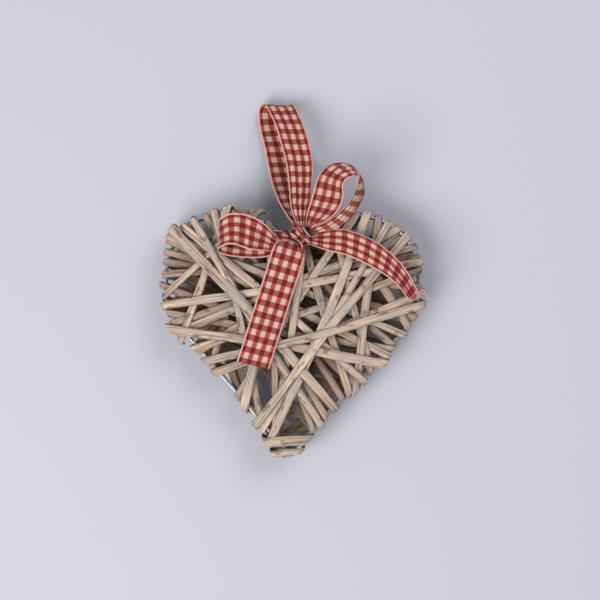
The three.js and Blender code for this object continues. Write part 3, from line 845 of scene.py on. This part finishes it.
def ribbon_material():
    """Gingham: dyed and undyed bands of warp and weft crossing, red where both are dyed, half-way
    where one is, cream where neither is, with a fine plain weave and a pale edge."""
    made, tree, shader = new_material("gingham", RIBBON_ROUGHNESS)
    flat = node(tree, "ShaderNodeUVMap", {"uv_map": "flat"}, [])
    across = node(tree, "ShaderNodeSeparateXYZ", {}, [(0, flat)], out=0)
    along = node(tree, "ShaderNodeSeparateXYZ", {}, [(0, flat)], out=1)

    def sine(value, wavelength):
        return value.math("SINE", value * (2 * math.pi / wavelength))

    warp = sine(across - CHECK_ACROSS / 2, 2 * CHECK_ACROSS).above(0.0, 0.4)
    weft = sine(along, 2 * CHECK_ALONG).above(0.0, 0.4)
    cream = colour(0.66, 0.455, 0.345)
    rose = colour(0.355, 0.074, 0.068)
    sand = colour(0.315, 0.084, 0.067)
    red = colour(0.168, 0.005, 0.010)
    worn_thread = colour(0.42, 0.15, 0.12)
    pale_edge = colour(0.80, 0.50, 0.43)
    cloth = mix(tree, weft, mix(tree, warp, cream, rose), mix(tree, warp, sand, red))
    grain = sine(across, THREAD_PITCH) * sine(along, THREAD_PITCH)
    sockets = [("Vector", flat), ("Scale", 900.0), ("Detail", 3.0)]
    cloud = node(tree, "ShaderNodeTexNoise", {}, sockets)
    worn = mix(tree, (grain * 0.05 + cloud * 0.1).clamped(), cloth, worn_thread)
    from_middle = across.math("ABSOLUTE", across)
    edge = from_middle.above(RIBBON_WIDTH / 2 - EDGE_BAND, EDGE_FADE)
    feed(tree, mix(tree, edge * 0.85, worn, pale_edge), shader, "Base Color")
    bump(tree, shader, grain + cloud * 0.4, 0.35, 0.0003)
    shader.inputs["Sheen Weight"].default_value = 0.08
    shader.inputs["Sheen Roughness"].default_value = 0.5
    shader.inputs["Specular IOR Level"].default_value = 0.1
    return made


gingham = ribbon_material()


def through(points, per_step):
    """A smooth line through places given as pixels with heights. For each stretch it is the
    cubic that leaves one point and meets the next along the line joining their neighbours."""
    points = np.array([from_photo(*point) for point in points])
    padded = np.vstack([2 * points[0] - points[1], points, 2 * points[-1] - points[-2]])
    share = np.linspace(0, 1, per_step, endpoint=False)[:, None]
    stretches = []
    for i in range(1, len(padded) - 2):
        a, b, c, d = padded[i - 1:i + 3]
        cubic = (2 * b + (c - a) * share + (2 * a - 5 * b + 4 * c - d) * share ** 2
                 + (3 * b - a - 3 * c + d) * share ** 3)
        stretches.append(cubic / 2)
    return np.vstack(stretches + [points[-1:]])


def loose_thread(points):
    """A thread pulled from the ribbon's cut edge: a thin four-sided tube through points."""
    around = np.array([(1, 0, 0), (0, 0, 1), (-1, 0, 0), (0, 0, -1)]) * THREAD_RADIUS
    return through(points, THREAD_STEPS)[:, None, :] + around[None, :, :]


def add_ribbon(name, node_name, surface, stops, held, rest, phase=0.0, thread=None, rolled=0.0):
    """A ribbon from a grid of points. Its flat map is the true length one way, and the other way
    the distance walked over the folds of each row, as a share of the ribbon's width. Where it is
    rolled, its pale edge shows. A loose thread has the edge's colour."""
    rows, columns = surface.shape[:2]
    walked = np.cumsum(np.linalg.norm(np.diff(surface, axis=1), axis=2), axis=1)
    walked = np.hstack([np.zeros((rows, 1)), walked])
    flat_u = (walked / walked[:, -1:] - 0.5) * RIBBON_WIDTH
    flat_u = flat_u * (1 - rolled) + RIBBON_WIDTH / 2 * rolled
    flat_v = np.broadcast_to(stops[:, None] + phase, (rows, columns))
    points = surface.reshape(-1, 3)
    flat = np.stack([flat_u, flat_v], axis=2).reshape(-1, 2)
    faces = grid_faces(rows, columns)
    if thread is not None:
        faces = np.vstack([faces, grid_faces(*thread.shape[:2], False, True) + len(points)])
        thread_points = thread.reshape(-1, 3)
        points = np.vstack([points, thread_points])
        edge = np.array([RIBBON_WIDTH / 2, 0])
        flat = np.vstack([flat, np.broadcast_to(edge, (len(thread_points), 2))])
    piece = add_mesh(name, points, faces, gingham, flat)
    thick = piece.modifiers.new("thickness", "SOLIDIFY")
    thick.thickness = RIBBON_THICK
    thick.offset = 0
    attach(piece, "root")
    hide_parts(node_name)


def band(edges, crown):
    """Rows straight from edge to edge, lifted by a shallow bow across, one less the square of the
    place, and folded into pleats where the edges stand closer than the ribbon is wide. A pleat's
    height is the one whose sine wave uses up the width left over, up to a limit."""
    left, right = (through(points, EDGE_STEPS) for points in edges)
    travelled = lengths_along((left + right) / 2)
    stops = np.linspace(0, travelled[-1], round(travelled[-1] / RIBBON_STEP))
    left, right = (at_stops(line, travelled, stops) for line in (left, right))
    across = np.linspace(-1, 1, RIBBON_COLUMNS)[None, :]
    share = (across[..., None] + 1) / 2
    surface = left[:, None, :] * (1 - share) + right[:, None, :] * share
    run = np.gradient((left + right) / 2, axis=0)
    up = np.cross(right - left, run)
    up /= np.linalg.norm(up, axis=1, keepdims=True)
    chord = np.linalg.norm(right - left, axis=1)[:, None]
    spare = np.sqrt(np.maximum(0, RIBBON_WIDTH / chord - 1))
    limit = PLEAT_LEAST + PLEAT_MORE * (1 - chord / RIBBON_WIDTH)
    height = np.minimum(limit, 2 * chord / (math.pi * PLEATS) * spare)
    drift = PLEAT_DRIFT * np.sin(stops[:, None] * DRIFT_PACE)
    pleat = height * np.sin(math.pi * PLEATS / 2 * (across + 1) + drift)
    ripple_turns = stops[:, None] * RIPPLE_PACE + across * RIPPLE_SLANT
    ripple = RIPPLE * np.sin(ripple_turns) * np.abs(across)
    lift = (1 - across ** 2) * crown * chord / RIBBON_WIDTH + pleat + ripple
    return surface + lift[..., None] * up[:, None, :], stops


def left_tail():
    """A straight length laid down the canes. Its head rolls over: beyond an ellipse as wide as the
    ribbon, each point is drawn back to the ellipse and let down by the distance it was beyond."""
    run = TAIL_END - TAIL_HEAD
    length = np.linalg.norm(run)
    run = run / length
    across_way = np.array([run[1], -run[0]])
    stops = np.arange(-TAIL_TUCK, length, RIBBON_STEP)
    across = np.linspace(-1, 1, RIBBON_COLUMNS)
    u, v = np.meshgrid(across * RIBBON_WIDTH / 2, stops)
    v = v * (1 - TAIL_SKEW * across)
    far, level = np.array(TAIL_HEIGHTS).T * MM
    height = np.interp(v, far, level)
    height += TAIL_CROWN * (1 - across ** 2)
    height += TAIL_RIPPLE * np.sin(v * RIPPLE_ALONG + RIPPLE_START) * np.sin(u * RIPPLE_ACROSS)
    beyond = np.minimum(v - TAIL_ARCH, 0)
    ratio = np.hypot(u / (RIBBON_WIDTH / 2), beyond / TAIL_ARCH)
    excess = np.where(beyond < 0, np.maximum(ratio - 1, 0), 0) * TAIL_ARCH
    spread = ROLL_SPREAD * np.tanh(excess / ROLL_SPREAD)
    drawn = np.where(excess > 0, (1 + spread / TAIL_ARCH) / np.maximum(ratio, 1), 1)
    height = height - np.hypot(excess, ROLL_SPREAD) + ROLL_SPREAD
    plan_v = np.where(beyond < 0, TAIL_ARCH + beyond * drawn, v)
    plan = TAIL_HEAD + (u * drawn)[..., None] * across_way + plan_v[..., None] * run
    rolled = np.clip((excess - EDGE_SHOWS) / EDGE_SHOWS, 0, 1)
    return np.concatenate([plan, height[..., None]], axis=2), stops - stops[0], rolled


def knot_wrap():
    """A ring of ribbon round the middle of the bow. Round the ring it is an ellipse, cosine of
    the angle along and sine up; across it is gathered into deep folds, and it narrows towards
    both edges."""
    angle = np.linspace(0, 2 * math.pi, KNOT_ROWS)[:, None]
    across = np.linspace(-1, 1, KNOT_COLUMNS)[None, :]
    fold = KNOT_FOLD * np.sin(across * FOLD_PACE + FOLD_LEAN * np.cos(angle) + FOLD_START)
    fold = fold + KNOT_CREASE * np.sin(across * CREASE_PACE + angle * CREASE_TURNS)
    body = np.sqrt(1 - KNOT_TAPER * across ** 2) + fold
    sway = KNOT_SWAY * np.sin(angle * SWAY_TURNS + across * SWAY_LEAN)
    waist = 1 - KNOT_WAIST + KNOT_WAIST * np.abs(np.cos(angle)) ** 3
    x = KNOT_REACH[0] * body * np.cos(angle)
    y = KNOT_REACH[1] * (across + sway) * waist
    z = KNOT_REACH[2] * body * np.sin(angle)
    turned = [x * math.cos(KNOT_TURN) - y * math.sin(KNOT_TURN),
              x * math.sin(KNOT_TURN) + y * math.cos(KNOT_TURN), z]
    return np.stack(turned, axis=2) + KNOT_CENTRE, angle[:, 0] / (2 * math.pi) * KNOT_LENGTH


def add_ribbons():
    loop = band(HANGING_LOOP, LOOP_CROWN)
    thread = loose_thread(TOP_THREAD)
    add_ribbon("ribbon_hanging_loop", "hanging_loop", *loop, "folded", "bow", thread=thread)
    left = band(BOW_LOOP_LEFT, BOW_CROWN)
    add_ribbon("ribbon_bow_loop_left", "bow", *left, "gathered", "wire_frame", phase=2 * MM)
    right = band(BOW_LOOP_RIGHT, BOW_CROWN)
    add_ribbon("ribbon_bow_loop_right", "bow", *right, "gathered", "wire_frame", phase=1 * MM)
    tail = band(TAIL_RIGHT, BOW_CROWN)
    thread = loose_thread(TAIL_THREAD)
    add_ribbon("ribbon_tail_right", "bow", *tail, "draped", "cane_36", thread=thread)
    *tail, rolled = left_tail()
    add_ribbon("ribbon_tail_left", "bow", *tail, "draped", "cane_38", rolled=rolled)
    add_ribbon("ribbon_knot", "bow", *knot_wrap(), "gathered", "bow")


add_ribbons()
